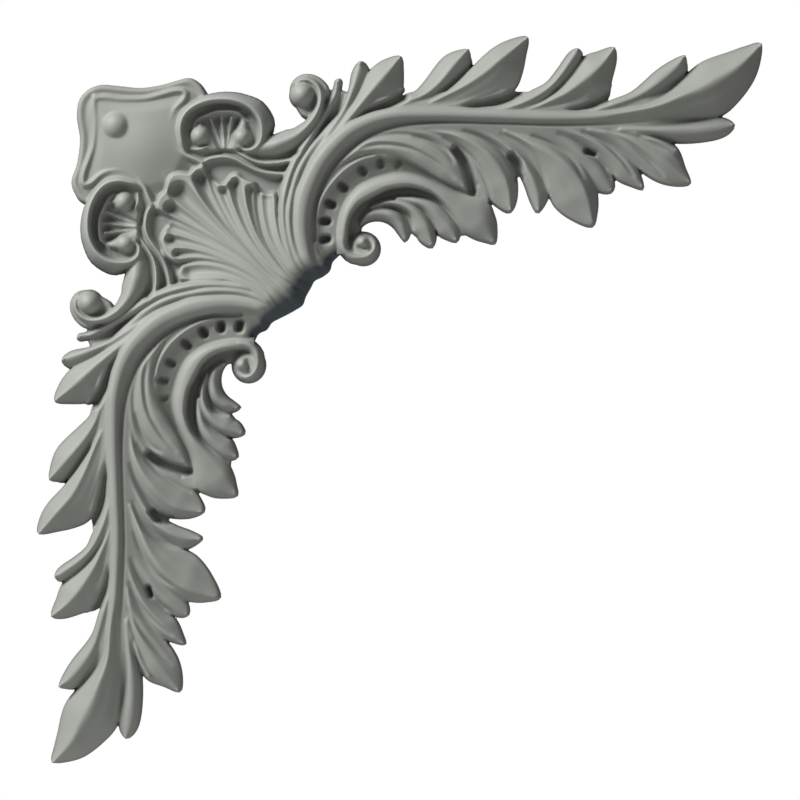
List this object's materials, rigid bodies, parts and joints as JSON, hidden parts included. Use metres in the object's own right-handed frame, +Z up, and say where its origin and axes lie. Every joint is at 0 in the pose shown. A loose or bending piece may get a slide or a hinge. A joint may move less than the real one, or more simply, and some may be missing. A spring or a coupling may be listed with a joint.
{
  "type": "panel moulding corner",
  "caption": "Carved acanthus panel moulding corner with a fluted shell, scrolls and a bossed corner plate, cast in one piece and primed grey-green.",
  "frame": {"origin": "on the flat back, on the mitre line behind the middle of the shell", "axes": "+Y out of the flat back towards the wall, the carving faces -Y, +Z up, one arm runs along +X and the other along -Z"},
  "size_m": [0.3628, 0.0226, 0.3638],
  "materials": {
    "primed_casting": "smooth polyurethane casting under matte grey-green primer"
  },
  "bodies": {
    "root": {"moulding_corner": "primed_casting"}
  },
  "joints": []
}
